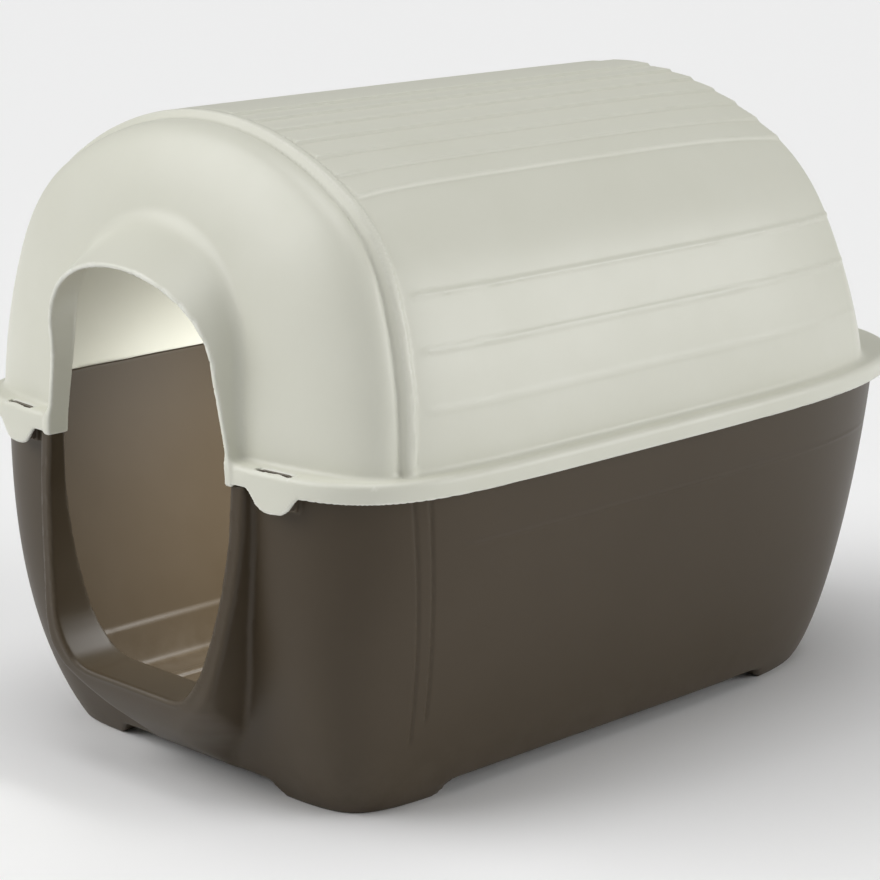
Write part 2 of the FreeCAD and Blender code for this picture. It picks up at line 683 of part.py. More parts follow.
def side_grooves():
    """Pairs of shallow grooves down both sides of the tub."""
    core = tub_solid(0, TUB_RIM, GROOVE_DEPTH)
    grooves = []
    for shift, lift in ((0.0, 0.0), (GROOVE_GAP, 13.0)):
        y_top, z_top = GROOVE_PATH[0]
        path = [(y + shift, z) for y, z in GROOVE_PATH[:2]]
        y_end, z_end = GROOVE_PATH[2]
        path.append((y_end + shift - 0.108 * lift, z_end + lift))
        near = [Vector(-240, y, z) for y, z in path]
        far = [Vector(-240, y + GROOVE_WIDTH, z) for y, z in reversed(path)]
        strip = prism(Part.makePolygon(near + far + near[:1]), Vector(480, 0, 0))
        grooves.append(strip.cut(core))
    return grooves


def floor_ribs():
    ribs = []
    floor = GROUND_GAP + FLOOR_THICKNESS
    for i in range(FLOOR_RIB_COUNT):
        x = (i - (FLOOR_RIB_COUNT - 1) / 2) * FLOOR_RIB_PITCH
        ribs.append(box(x - FLOOR_RIB_WIDTH / 2, x + FLOOR_RIB_WIDTH / 2, -205, FLOOR_RIB_REAR,
                        floor - 1, floor + FLOOR_RIB_HEIGHT))
    return ribs


def rim_notch():
    """The gap in the tub's rim that the hood's legs stand in."""
    half = HOOD_HALF_WIDTH + 3 * CLEARANCE
    return box(-half, half, -340, PORCH_BACK, PORCH_TOP, TUB_RIM + 5)


def base_tub():
    places = tongue_places()
    body = tub_solid(0, TUB_RIM, 0.0)
    for space in under_floor():
        body = body.cut(space)
    body = body.fuse(porch_solid())
    for room in tub_rooms() + [porch_room()]:
        body = body.cut(room)
    jamb = doorway_prism(-340, PORCH_BACK + 5, WALL).common(porch_solid())
    for room in tub_rooms():
        jamb = jamb.cut(room)
    body = body.fuse([jamb] + [tongue_pad(place) for place in places] + floor_ribs())
    body = body.cut(doorway_prism(-340, PORCH_BACK + 10)).cut(rim_notch())
    body = body.cut([on_flange(lug(), place) for place in places] + side_grooves())
    return body.cut(Part.makeCylinder(DRAIN_RADIUS, 12, Vector(0, DRAIN_Y, GROUND_GAP - 4)))


def drain_plug():
    """A rubber bung with a flat head, a stem and a knob to pull."""
    floor = GROUND_GAP + FLOOR_THICKNESS + 0.1
    parts = [(DRAIN_RADIUS - 0.2, 7.0, floor), (DRAIN_RADIUS + 4, floor, floor + 2.5),
             (3.0, floor + 2.0, floor + 6.0), (5.0, floor + 5.5, floor + 8.0)]
    discs = [Part.makeCylinder(r, z1 - z0, Vector(0, DRAIN_Y, z0)) for r, z0, z1 in parts]
    return discs[0].fuse(discs[1:]).removeSplitter()


def build():
    nodes = {"base_tub": base_tub(), "roof_shell": roof_shell(), "drain_plug": drain_plug(),
             "vent_grille": at_vent(vent_grille()), "vent_shutter": at_vent(vent_shutter()),
             "vent_rivet": at_vent(vent_rivet())}
    for place in tongue_places():
        nodes[place[0] + "_tongue"] = locking_tongue(place)
    return nodes


if __name__ == "__main__":
    os.makedirs("parts", exist_ok=True)
    for name, shape in build().items():
        shape.exportStep("parts/" + name + ".step")
        print(name, round(shape.Volume / 1000.0, 1), "cm3")
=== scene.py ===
# %% [markdown]
# # A moulded dog house
#
# The real object is two large plastic mouldings: a brown tub and a pale arched roof. Moulded plastic has a
# look of its own. Every inner corner is softly filled, every outer edge is slightly round, and the surface has
# a fine satin grain. This lesson builds both mouldings as *fields* in numpy, turns them into meshes, and gives
# them plastic made of shader nodes.

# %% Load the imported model, which fixes the size and place of everything
import math

import bpy
import numpy as np
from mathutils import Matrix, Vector


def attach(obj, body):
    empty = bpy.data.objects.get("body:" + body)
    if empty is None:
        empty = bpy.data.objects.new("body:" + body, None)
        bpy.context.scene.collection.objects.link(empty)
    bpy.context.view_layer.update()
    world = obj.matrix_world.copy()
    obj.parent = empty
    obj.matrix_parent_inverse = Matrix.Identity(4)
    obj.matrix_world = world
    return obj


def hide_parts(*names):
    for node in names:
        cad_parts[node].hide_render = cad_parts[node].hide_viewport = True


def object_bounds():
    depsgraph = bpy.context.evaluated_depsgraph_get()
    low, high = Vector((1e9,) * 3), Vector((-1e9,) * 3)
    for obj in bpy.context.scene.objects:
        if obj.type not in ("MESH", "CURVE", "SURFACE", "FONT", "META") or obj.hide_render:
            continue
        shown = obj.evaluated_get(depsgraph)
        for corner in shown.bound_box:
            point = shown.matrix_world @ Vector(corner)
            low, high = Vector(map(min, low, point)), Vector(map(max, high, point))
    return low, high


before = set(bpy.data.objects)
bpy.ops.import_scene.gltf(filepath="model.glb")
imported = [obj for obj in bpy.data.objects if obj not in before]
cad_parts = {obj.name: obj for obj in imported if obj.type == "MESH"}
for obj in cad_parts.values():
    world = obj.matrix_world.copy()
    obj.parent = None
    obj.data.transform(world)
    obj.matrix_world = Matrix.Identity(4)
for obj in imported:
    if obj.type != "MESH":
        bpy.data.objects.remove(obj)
cad_bounds = [[float(c) for c in corner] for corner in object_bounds()]
MM = 0.001
print("the packed model's box in metres:", cad_bounds)

# %% [markdown]
# ## Sizes
#
# All shapes below are worked out in millimetres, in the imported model's own frame: the ground is z = 0, the
# doorway faces -y and x = 0 is the middle plane. Only the finished meshes are scaled to metres. A few sizes
# drive everything, and most of them are the ones a mould maker would write on the drawing.

# %% Driving sizes of the two mouldings
WALL = 3.0
LEDGE_TOP, LEDGE_UNDER, SKIRT_FOOT = 233.0, 229.5, 220.0
TUB_RIM = 229.2
RIDGE = 433.0
WIDEST_Y = -35.5
FLOOR_UNDER, FLOOR_TOP = 10.4, 13.7
FLANGE = dict(half=215.0, front=-301.0, rear=315.0, n_front=6.1, n_rear=3.64)

# %% [markdown]
# ## Fields
#
# A field is a function that says how far a point is from a surface: negative inside the plastic, positive in
# the air, zero on the skin. Joining two shapes is the smaller of two fields, and cutting one from the other is
# the larger of one and the other's negative. The reason to work this way is the *smooth* version of those two:
# when the fields are nearly equal it rounds the corner between them, which is just the fillet a mould leaves.
# Booleans and bevels on a mesh could do the same, but they break where many curved forms meet.

# %% Joining, cutting and rounding
def smooth_join(a, b, radius):
    h = np.maximum(radius - np.abs(a - b), 0.0) / radius
    return np.minimum(a, b) - h * h * radius / 4


def smooth_keep(a, b, radius):
    """What lies in both shapes, with the edge between them rounded."""
    return -smooth_join(-a, -b, radius)


def smooth_cut(a, b, radius=1.0):
    """Shape a with shape b taken out of it."""
    return smooth_keep(a, -b, radius)


def ramp(value, start, end):
    """A soft step from 0 at start to 1 at end."""
    t = np.clip((value - start) / (end - start), 0.0, 1.0)
    return t * t * (3 - 2 * t)


def through(value, stations):
    """A smooth curve through (value, result) stations, by monotone cubic pieces."""
    s, r = (np.array(column, float) for column in zip(*sorted(stations)))
    chord = np.diff(r) / np.diff(s)
    inner = np.where(chord[1:] * chord[:-1] > 0, 2 * chord[1:] * chord[:-1] / (chord[1:] + chord[:-1] + 1e-9), 0)
    slope = np.concatenate([chord[:1], inner, chord[-1:]])
    i = np.clip(np.searchsorted(s, value) - 1, 0, len(s) - 2)
    width = s[i + 1] - s[i]
    t = np.clip((value - s[i]) / width, 0.0, 1.0)
    return ((2 * t**3 - 3 * t**2 + 1) * r[i] + (t**3 - 2 * t**2 + t) * width * slope[i]
            + (3 * t**2 - 2 * t**3) * r[i + 1] + (t**3 - t**2) * width * slope[i + 1])


def bowed(x, y, half, front, rear, n_front, n_rear):
    """The house's outline seen from above: a rectangle with bowed sides and soft corners."""
    behind = y >= WIDEST_Y
    reach = np.where(behind, rear - WIDEST_Y, WIDEST_Y - front)
    n = np.where(behind, n_rear, n_front)
    u, v = np.abs(x) / half, np.abs(y - WIDEST_Y) / reach
    gauge = (u**n + v**n) ** (1 / n) + 1e-6
    slope = np.hypot((u / gauge) ** (n - 1) / half, (v / gauge) ** (n - 1) / reach)
    return (gauge - 1) / (slope + 1e-9)


print("a fillet of radius 8 lowers the join by", float(smooth_join(0.0, 0.0, 8.0)), "mm at its middle")

# %% [markdown]
# ## From field to mesh
#
# A *surface net* samples a field on a grid. Each grid cell that the skin passes through gets one vertex, at
# the average of the points where the skin crosses the cell's edges, and each grid edge that the skin crosses
# gets one quad between the four cells round it. The net is then pulled onto the skin with a few steps down
# the field's own slope, so that the small reliefs come out crisp. The grid is fine at both ends of the house
# and coarse along the middle, where the forms run straight. At the end the net is held inside the packed
# model's box, which it passes by less than a tenth of a millimetre.

# %% Grid lines, the surface net, and the pull onto the skin
def grid_lines(*stretches):
    """Grid places from (start, end, step) stretches that follow each other."""
    lines = [np.linspace(a, b, max(2, round((b - a) / step) + 1))[:-1] for a, b, step in stretches]
    return np.concatenate(lines + [[stretches[-1][1]]])


def sample(field, xs, ys, zs):
    values = np.empty((len(xs), len(ys), len(zs)), np.float32)
    for j in range(0, len(ys), 16):
        values[:, j:j + 16] = field(xs[:, None, None], ys[None, j:j + 16, None], zs[None, None, :])
    return values


def surface_net(field, xs, ys, zs):
    values = sample(field, xs, ys, zs)
    inside = values < 0
    corners = [(a, b, c) for a in (0, 1) for b in (0, 1) for c in (0, 1)]
    size = tuple(n - 1 for n in inside.shape)
    count = sum(inside[a:a + size[0], b:b + size[1], c:c + size[2]].astype(np.int8) for a, b, c in corners)
    cells = np.argwhere((count > 0) & (count < 8))
    lines = (xs, ys, zs)
    total, hits = np.zeros((len(cells), 3)), np.zeros(len(cells))
    for start in corners:
        for axis in range(3):
            if start[axis]:
                continue
            end = tuple(1 if k == axis else start[k] for k in range(3))
            va = values[tuple((cells + start).T)]
            vb = values[tuple((cells + end).T)]
            share = np.where((va < 0) != (vb < 0), va / np.where(va == vb, 1, va - vb), 0)
            crossing = (va < 0) != (vb < 0)
            for k in range(3):
                pa, pb = lines[k][cells[:, k] + start[k]], lines[k][cells[:, k] + end[k]]
                total[:, k] += np.where(crossing, pa + share * (pb - pa), 0)
            hits += crossing
    points = total / hits[:, None]
    number = np.full(size, -1, np.int32)
    number[tuple(cells.T)] = np.arange(len(cells))
    quads = []
    for axis in range(3):
        u, v = (axis + 1) % 3, (axis + 2) % 3
        low = [slice(None)] * 3
        low[axis] = slice(0, -1)
        high = [slice(None)] * 3
        high[axis] = slice(1, None)
        change = inside[tuple(low)] != inside[tuple(high)]
        edges = np.argwhere(change)
        edges = edges[(edges[:, u] > 0) & (edges[:, v] > 0) & (edges[:, u] < size[u]) & (edges[:, v] < size[v])]
        around = []
        for du, dv in ((1, 1), (0, 1), (0, 0), (1, 0)):
            cell = edges.copy()
            cell[:, u] -= du
            cell[:, v] -= dv
            around.append(number[tuple(cell.T)])
        quad = np.stack(around, 1)
        outward = inside[tuple(low)][tuple(edges.T)]
        quad[~outward] = quad[~outward][:, ::-1]
        quads.append(quad)
    return points, np.concatenate(quads)


def pull_onto_skin(field, points, rounds=3, reach=0.12, longest=0.9):
    for _ in range(rounds):
        here = field(*points.T)
        slope = np.stack([(field(*(points + step).T) - field(*(points - step).T)) / (2 * reach)
                          for step in np.eye(3) * reach], 1)
        move = -here[:, None] * slope / (np.sum(slope**2, 1)[:, None] + 1e-6)
        length = np.linalg.norm(move, axis=1)[:, None] + 1e-9
        points = points + move * np.minimum(1.0, longest / length)
    return points


def piece_from_field(name, field, xs, ys, zs):
    points, quads = surface_net(field, xs, ys, zs)
    points = np.clip(pull_onto_skin(field, points) * MM, cad_bounds[0], cad_bounds[1])
    mesh = bpy.data.meshes.new(name)
    mesh.from_pydata(points.tolist(), [], quads.tolist())
    mesh.shade_smooth()
    piece = bpy.data.objects.new(name, mesh)
    bpy.context.scene.collection.objects.link(piece)
    print(name, len(points), "points,", len(quads), "quads")
    return piece


print("grid lines over two stretches:", grid_lines((0, 4, 2), (4, 12, 4)))
# %% [markdown]
# ## The roof's section
#
# Seen from the front the roof is a crown, two shoulders and two walls, all arcs that meet without a kink. The
# field asks for the opposite of drawing those arcs: in which direction does a point lie from the middle of the
# ledge, and how far out is the roof that way? A short table answers it, made from the arcs themselves.

# %% Crown, shoulders and walls as one table of reach against angle
HALF_WIDTH, CROWN_R, SHOULDER_R, WALL_R = 204.0, 260.0, 110.0, 280.0
CROWN_CENTRE = Vector((0.0, RIDGE - CROWN_R))
WALL_CENTRE = Vector((HALF_WIDTH - WALL_R, LEDGE_TOP))


def shoulder_centre():
    """The point that lies as far from both big centres as tangent arcs need."""
    line = WALL_CENTRE - CROWN_CENTRE
    ra, rb, gap = CROWN_R - SHOULDER_R, WALL_R - SHOULDER_R, line.length
    along = (ra * ra - rb * rb + gap * gap) / (2 * gap)
    aside = math.sqrt(ra * ra - along * along)
    unit = line / gap
    options = [CROWN_CENTRE + unit * along + Vector((-unit.y, unit.x)) * aside * side for side in (1, -1)]
    return max(options, key=lambda point: point.x)


def reach_table(steps=400):
    middle = shoulder_centre()
    crown_end = math.atan2(*(middle - CROWN_CENTRE).yx)
    wall_end = math.atan2(*(middle - WALL_CENTRE).yx)
    rows = []
    for i in range(steps + 1):
        angle = math.pi / 2 * i / steps
        centre, radius = middle, SHOULDER_R
        if angle >= crown_end:
            centre, radius = CROWN_CENTRE, CROWN_R
        elif angle < wall_end:
            centre, radius = WALL_CENTRE, WALL_R
        x = centre.x + radius * math.cos(angle)
        z = centre.y + radius * math.sin(angle) - LEDGE_TOP
        rows.append((math.atan2(z, x), math.hypot(x, z)))
    return np.array(sorted(rows)).T


REACH_ANGLE, REACH = reach_table()
print("the roof stands", round(float(REACH[-1]), 1), "mm above the ledge")

# %% [markdown]
# ## Vault and domes
#
# Between two leaning planes the roof is a vault with that section. In front of the first plane and behind the
# second it closes with a dome. A dome is the same section shrunk towards the middle of the ledge while it
# moves outwards, along a rounded path: a squarish one in front, a rounder and longer one behind.

# %% The roof's main form
FRONT_PLANE, REAR_PLANE = (-248.0, 12.0), (200.0, -30.0)
FRONT_DOME, REAR_DOME = (43.5, 2.8), (104.0, 1.6)
REAR_DOME_CROWN_DEPTH = 28.0
LEDGE_WIDTH = 11.0
DOME_DROP = 3.0


def leaning(plane, z):
    return plane[0] + plane[1] * (z - LEDGE_TOP) / (RIDGE - LEDGE_TOP)


def width_share(y):
    """How wide the vault is at a station: it follows the bowed flange."""
    behind = y >= WIDEST_Y
    reach = np.where(behind, FLANGE["rear"] - WIDEST_Y, WIDEST_Y - FLANGE["front"])
    n = np.where(behind, FLANGE["n_rear"], FLANGE["n_front"])
    half = FLANGE["half"] * (1 - (np.abs(y - WIDEST_Y) / reach) ** n) ** (1 / n)
    return (half - LEDGE_WIDTH) / HALF_WIDTH


def along_vault(y, z):
    """0 at the vault's front plane, 1 at its rear plane."""
    front, rear = leaning(FRONT_PLANE, z), leaning(REAR_PLANE, z)
    return np.clip((y - front) / (rear - front), 0.0, 1.0)


def vault_width(y, z):
    return width_share(FRONT_PLANE[0] + along_vault(y, z) * (REAR_PLANE[0] - FRONT_PLANE[0]))


def roof_form(x, y, z, drop_run=(0.0, 3.0)):
    up = np.maximum(z - LEDGE_TOP, 0.0)
    across = np.abs(x) / vault_width(y, z)
    reach = np.interp(np.arctan2(up, across), REACH_ANGLE, REACH)
    spread = np.hypot(across, up) / reach
    ahead = np.maximum(leaning(FRONT_PLANE, z) - y, 0.0)
    behind = np.maximum(y - leaning(REAR_PLANE, z), 0.0)
    depth_behind = REAR_DOME[0] + (REAR_DOME_CROWN_DEPTH - REAR_DOME[0]) * up / (RIDGE - LEDGE_TOP)
    in_front = ahead > 0
    n = np.where(in_front, FRONT_DOME[1], REAR_DOME[1])
    depth = np.where(in_front, FRONT_DOME[0], np.maximum(depth_behind, 10.0))
    out = np.where(in_front, ahead, behind) / depth
    gauge = (spread**n + out**n) ** (1 / n) + 1e-6
    slope = np.hypot((spread / gauge) ** (n - 1) / reach, (out / gauge) ** (n - 1) / depth)
    fade = np.clip(1 - np.where(in_front, out, 0) ** 2, 0.0, 1.0)
    drop = DOME_DROP * ramp(leaning(FRONT_PLANE, z) - y, *drop_run) * fade
    return (gauge - 1) / (slope + 1e-9) + drop


print("the vault's width share at its two ends:", *np.round(width_share(np.array([-248.0, 200.0])), 3))

# %% [markdown]
# ## Boards, beads and the rib
#
# The crown is moulded as overlapping boards: each one rises gently away from the ridge and ends in a small
# step that catches light. The flanks carry three low beads, and a raised rib with a groove before it crosses
# the front of the vault. All of them are reliefs of a millimetre or two, so they are added to the field as a
# height over the skin. They stay real geometry, which a bump map would not be in profile.

# %% Reliefs that lie on the vault
RIB_WIDTH, RIB_HEIGHT, GROOVE_DEPTH = 6.5, 2.2, 1.2
RIDGE_BOARD_HALF, BOARD_PITCH, BOARD_STEP, BOARDS = 17.0, 20.5, 2.2, 6
STEP_RUN = 1.1              # a step falls over this width, so that it leaves the mould
BEADS = ((271.0, 0.7), (307.0, 1.2), (339.0, 1.3))     # height on the flank, and rise over the skin


def board_relief(x, y, z):
    arc = CROWN_R * np.arcsin(np.minimum(np.abs(x) / CROWN_R, 1.0))
    board = (arc - RIDGE_BOARD_HALF) / BOARD_PITCH
    share = np.where(board < 0, 1.0, board - np.floor(board))
    rise = 0.2 + (BOARD_STEP - 0.2) * share
    past_edge = np.where(board < 0, 99.0, share) * BOARD_PITCH
    rise = np.maximum(rise, BOARD_STEP * (1 - past_edge / STEP_RUN))
    rise = np.where(board < BOARDS, rise, BOARD_STEP * (1 - past_edge / STEP_RUN) * (board < BOARDS + 0.5))
    rise = np.maximum(rise, 0.0)
    behind_rib = y - leaning(FRONT_PLANE, z) - RIB_WIDTH
    return rise * ramp(behind_rib, 0.0, 2.0) * ramp(leaning(REAR_PLANE, z) - y, -1.0, 1.0)


def bead_relief(y, z):
    rise = sum(rise * np.exp(-((z - height) / 1.3) ** 2) for height, rise in BEADS)
    ends = ramp(y - leaning(FRONT_PLANE, z), 12.0, 20.0) * ramp(leaning(REAR_PLANE, z) + 20 - y, 0.0, 20.0)
    return rise * ends


def rib_relief(y, z):
    place = y - leaning(FRONT_PLANE, z)
    band = ramp(place, -0.6, 0.8) * ramp(RIB_WIDTH - place, -0.6, 0.8)
    return RIB_HEIGHT * band - GROOVE_DEPTH * np.exp(-((place + 2.0) / 1.3) ** 2)


def roof_skin(x, y, z):
    return roof_form(x, y, z) - board_relief(x, y, z) - bead_relief(y, z) - rib_relief(y, z)


print("boards on each side of the ridge board:", BOARDS)

# %% [markdown]
# ## The hood
#
# The hood is an arched tube that grows out of the front dome over the doorway. Its section is half an ellipse
# on two legs that lean in slightly, and it widens towards the house. Its front edge isn't straight: it swings
# forwards as it rises.

# %% The hood's tube and its swinging front edge
HOOD_FOOT_HALF, HOOD_BACK, HOOD_EDGE, HOOD_SWING = 92.5, -240.0, -300.0, 15.0
HOOD_LEAN_HEIGHT, HOOD_LEAN_POWER = 127.0, 2.5
HOOD_START, HOOD_RUN = -313.0, 45.0             # its section is given at the start, and its growth over the run
HOOD_HALF, HOOD_SPRING, HOOD_RISE = (82.0, 6.0), (286.0, 14.0), (61.0, 15.0)


def hood_tube(x, y, z):
    t = np.clip((y - HOOD_START) / HOOD_RUN, -0.4, 1.7)
    half, spring, rise = (start + growth * t for start, growth in (HOOD_HALF, HOOD_SPRING, HOOD_RISE))
    up = np.maximum(z - spring, 0.0)
    gauge = np.hypot(x / half, up / rise) + 1e-6
    slope = np.hypot(x / half**2, up / rise**2) / gauge + 1e-9
    below = np.clip((spring - z) / (spring - SKIRT_FOOT), 0.0, 1.0)
    lean = (HOOD_FOOT_HALF - half) * below * below * (3 - 2 * below)
    return (gauge - 1) / slope - lean


def before_hood_edge(y, z):
    share = np.clip((z - SKIRT_FOOT) / HOOD_LEAN_HEIGHT, 0.0, 1.0)
    return HOOD_EDGE - HOOD_SWING * share**HOOD_LEAN_POWER - y


print("the hood's edge stands", HOOD_SWING, "mm further out at its top than at its foot")

# %% [markdown]
# ## Flange, skirt, lobes and slots
#
# Round the roof's foot runs a flat ledge with a skirt that hangs over the tub's rim. Near each corner at the
# front and the rear the skirt drops in a rounded lobe, with a slot above it in the ledge. A tongue of the tub
# stands in each slot.

# %% Where the slots and lobes sit on the flange's edge
TONGUE_X = {"front": 128.3, "rear": 100.0}
TONGUE_INSET = 5.6
END_FROM = 240.0            # lobes hang only where |y| is past this
LOBE_PROFILE = ((0.0, 13.0), (7.0, 12.4), (12.5, 9.4), (16.5, 4.6), (20.5, 0.4), (24.0, -1.0), (60.0, -1.0))


def flange_edge(x, end):
    reach, n, sign = ((FLANGE["rear"] - WIDEST_Y, FLANGE["n_rear"], 1) if end == "rear"
                      else (WIDEST_Y - FLANGE["front"], FLANGE["n_front"], -1))
    return WIDEST_Y + sign * reach * (1 - (abs(x) / FLANGE["half"]) ** n) ** (1 / n)


def slot_frame(x, y, end):
    """A point's place along and inwards from the flange's edge, seen from the slot. Both sides at once."""
    x0 = TONGUE_X[end]
    y0 = flange_edge(x0, end)
    turn = math.atan((flange_edge(x0 + 2, end) - flange_edge(x0 - 2, end)) / 4)
    dx, dy = np.abs(x) - x0, y - y0
    along = dx * math.cos(turn) + dy * math.sin(turn)
    outward = (-dx * math.sin(turn) + dy * math.cos(turn)) * (1 if end == "rear" else -1)
    return along, outward


def slot(x, y, end, half_length, half_width):
    along, outward = slot_frame(x, y, end)
    ends = np.maximum(np.abs(along) - (half_length - half_width), 0.0)
    return np.hypot(ends, outward + TONGUE_INSET) - half_width


def skirt_foot(x, y):
    offset = np.abs(np.abs(x) - np.where(y < 0, TONGUE_X["front"], TONGUE_X["rear"]))
    drop = through(offset, LOBE_PROFILE)
    return SKIRT_FOOT - drop * (np.abs(y) > END_FROM)


def flange(x, y, z):
    plan = bowed(x, y, **FLANGE)
    slab = smooth_keep(smooth_keep(plan, z - LEDGE_TOP, 5.0), SKIRT_FOOT - z, 1.0)
    skirt = smooth_keep(smooth_keep(np.abs(plan + WALL / 2) - WALL / 2, skirt_foot(x, y) - z, 1.0), z - 230.0, 1.0)
    return np.minimum(slab, skirt)


print("turn of the front slots in degrees:", round(math.degrees(math.atan(
    (flange_edge(130.3, "front") - flange_edge(126.3, "front")) / 4)), 2))

# %% [markdown]
# ## The roof moulding
#
# Now the roof comes together. Smooth joins fill the corners between dome, ledge and hood. Then the inside is
# taken out: the same forms, a wall's thickness further in.

# %% Put the roof together, mesh it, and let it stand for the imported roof
VENT_SEAT = np.array([0.0, 247.5, 318.0])
VENT_TILT = math.radians(34.0)
VENT_OUT = np.array([0.0, math.cos(VENT_TILT), math.sin(VENT_TILT)])
VENT_R = 31.0
ROOM_WALL, HOOD_WALL = 4.6, 3.6
ROOM_DROP_RUN = (-24.0, -6.0)


def vent_frame(x, y, z):
    """Height over the vent's seat, and distance from its axis."""
    out = (y - VENT_SEAT[1]) * VENT_OUT[1] + (z - VENT_SEAT[2]) * VENT_OUT[2]
    down = (y - VENT_SEAT[1]) * VENT_OUT[2] - (z - VENT_SEAT[2]) * VENT_OUT[1]
    return out, np.hypot(x, down)


def roof_moulding(x, y, z):
    body = np.maximum(roof_skin(x, y, z), LEDGE_UNDER - z)
    body = smooth_join(body, flange(x, y, z), 4.0)
    tube = hood_tube(x, y, z)
    hood = smooth_keep(np.maximum(np.maximum(tube, SKIRT_FOOT - z), y - HOOD_BACK), before_hood_edge(y, z), 1.0)
    body = smooth_join(body, hood, 6.0)
    out, from_axis = vent_frame(x, y, z)
    boss = np.maximum(np.maximum(from_axis - VENT_R - 3, out), -22 - out)
    body = smooth_join(body, boss, 5.0)
    room = np.maximum(roof_form(x, y, z, ROOM_DROP_RUN) + ROOM_WALL, LEDGE_UNDER - 16 - z)
    under = np.maximum(np.maximum(bowed(x, y, **FLANGE) + WALL, z - LEDGE_UNDER), -tube)
    passage = np.maximum(tube + HOOD_WALL, y - HOOD_BACK)
    body = smooth_cut(body, smooth_join(room, passage, 2.0), 1.2)
    body = np.maximum(body, -under)
    body = smooth_cut(body, np.maximum(from_axis - VENT_R + 3, np.abs(out + 17) - 22), 0.6)
    for end in TONGUE_X:
        through_ledge = np.maximum(slot(x, y, end, 15.5, 2.0), LEDGE_UNDER - 4 - z)
        body = smooth_cut(body, through_ledge, 0.8)
    return body


FINE, COARSE = 2.0, 7.0
roof = piece_from_field(
    "roof_moulding", roof_moulding,
    grid_lines((-218, -146, FINE), (-146, 146, 1.2), (146, 218, FINE)),
    grid_lines((-318, -222, FINE), (-222, 165, COARSE), (165, 318, FINE)),
    grid_lines((202, 246, 1.6), (246, 330, 2.4), (330, 438, 1.8)))
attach(roof, "roof")
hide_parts("roof_shell")

# %% [markdown]
# ## The tub
#
# The tub's outline is the same bowed rectangle as the flange's, but it changes with height: small and squarish
# at the floor, then a quick belly, then a gentle lean out to the rim. Sizes that depend on height are all
# worked out from one share, which grows fast near the floor.

# %% The tub's wall at any height
TUB_BASE = dict(half=151.8, front=-250.8, rear=242.0, n_front=9.5, n_rear=5.4)
TUB_TOP = dict(half=205.0, front=-291.0, rear=301.0, n_front=5.8, n_rear=3.8)
TUB_WALL_TOP, BELLY, BELLY_START, FRONT_EASE = 222.0, 0.64, -4.0, 3.0
CREASE, CREASE_STEP = 43.0, 1.2


def tub_wall(x, y, z):
    share = np.clip(z / TUB_WALL_TOP, 0.0, 1.04)
    run = TUB_WALL_TOP - BELLY_START
    start = (-BELLY_START / run) ** BELLY
    belly = ((np.clip((z - BELLY_START) / run, 0.0, 1.04)) ** BELLY - start) / (1 - start)
    upright = 1 - (1 - np.minimum(share, 1.0)) ** FRONT_EASE
    grown = dict(half=belly, rear=belly, front=upright, n_front=share, n_rear=share)
    sizes = {key: TUB_BASE[key] + (TUB_TOP[key] - TUB_BASE[key]) * grown[key] for key in TUB_BASE}
    return bowed(x, y, **sizes)


print("the tub leans out by", TUB_TOP["half"] - TUB_BASE["half"], "mm on each side")

# %% [markdown]
# ## Porch and doorway
#
# Round the doorway the front wall stands out as a porch, a frame about 12 mm wide with a chin that curves back
# under the sill. Its corners are sharp beside the doorway and grow full and soft round the chin. The doorway is
# a deep U, lined by a jamb that ends flush with the tub's inner wall. Both change width with height, so each
# is a short list of heights and widths with a smooth curve through it.

# %% Porch, doorway and jamb
PORCH_TOP, PORCH_BACK, PORCH_DRAFT = 219.6, -225.0, 0.06
PORCH_HALF = ((219.6, 102.5), (190, 102.0), (160, 99.5), (125, 93.5), (100, 88.5), (82, 83.0), (70, 78.0),
              (60, 73.5), (45, 66.5), (30, 60.0), (11.4, 53.0))
PORCH_FRONT = ((219.6, -298.4), (190, -300.5), (160, -303.0), (125, -307.0), (100, -310.5), (82, -312.0),
               (70, -311.0), (60, -307.5), (45, -298.0), (30, -283.0), (11.4, -258.0))
PORCH_BEND = ((219.6, 3.0), (100, 3.0), (82, 4.0), (70, 9.0), (60, 17.0), (45, 28.0), (30, 34.0), (11.4, 20.0))
SILL = 69.5
DOOR_HALF = ((219.6, 91.0), (190, 91.0), (160, 88.0), (140, 85.0), (120, 80.5), (100, 75.0), (88, 69.0),
             (77, 60.0), (60, 40.0))
HEIGHTS = np.linspace(0.0, 240.0, 481)


def by_height(z, stations):
    """A curve's value at a height, and how steep it is there."""
    values = through(HEIGHTS, stations)
    return np.interp(z, HEIGHTS, values), np.interp(z, HEIGHTS, np.gradient(values, HEIGHTS))


def porch(x, y, z, inset=0.0):
    half, side_slope = by_height(z, PORCH_HALF)
    front, face_slope = by_height(z, PORCH_FRONT)
    bend, _ = by_height(z, PORCH_BEND)
    half = half + PORCH_DRAFT * np.maximum(y - front, 0.0)
    side = (np.abs(x) - half + inset) / np.hypot(1.0, side_slope) + bend
    face = (front + inset - y) / np.hypot(1.0, face_slope) + bend
    corner = np.hypot(np.maximum(side, 0), np.maximum(face, 0)) + np.minimum(np.maximum(side, face), 0)
    return corner - bend


def doorway(x, z):
    half, slope = by_height(z, DOOR_HALF)
    return smooth_keep((np.abs(x) - half) / np.hypot(1.0, slope), SILL - z, 9.0)


print("the doorway is", 2 * DOOR_HALF[0][1], "mm wide at its top and its sill is", SILL, "mm up")

# %% [markdown]
# ## Grooves, ribs, feet and pads
#
# Two fine grooves run down each side near the front, and a faint line runs along it below the rim. The floor
# has low ribs, and the wall runs down to the ground at four feet, with arches between them. At the rim, small
# pads carry the tongues.

